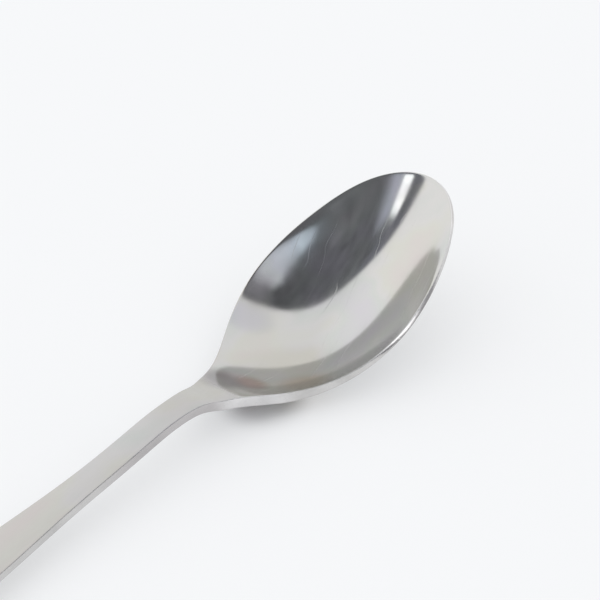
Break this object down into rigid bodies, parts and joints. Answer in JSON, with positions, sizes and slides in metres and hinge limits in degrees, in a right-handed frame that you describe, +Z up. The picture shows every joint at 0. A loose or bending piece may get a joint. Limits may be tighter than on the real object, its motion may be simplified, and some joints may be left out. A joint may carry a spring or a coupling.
{
  "type": "serving spoon",
  "caption": "Stainless steel serving spoon with a deep oval bowl, a narrow curved neck and a flat handle that widens to a round end; lies with the hollow up.",
  "frame": {"origin": "on the table under the middle of the spoon's length, as it lies with the hollow up", "axes": "+X along the spoon towards the tip of the bowl, +Y across it, +Z up out of the hollow"},
  "size_m": [0.231, 0.0476, 0.0317],
  "materials": {
    "polished_steel": "polished stainless steel, lightly worn and heat tinted by washing",
    "satin_steel": "satin stainless steel"
  },
  "bodies": {
    "root": {"bowl": "polished_steel", "neck": "satin_steel", "handle": "satin_steel"}
  },
  "joints": []
}
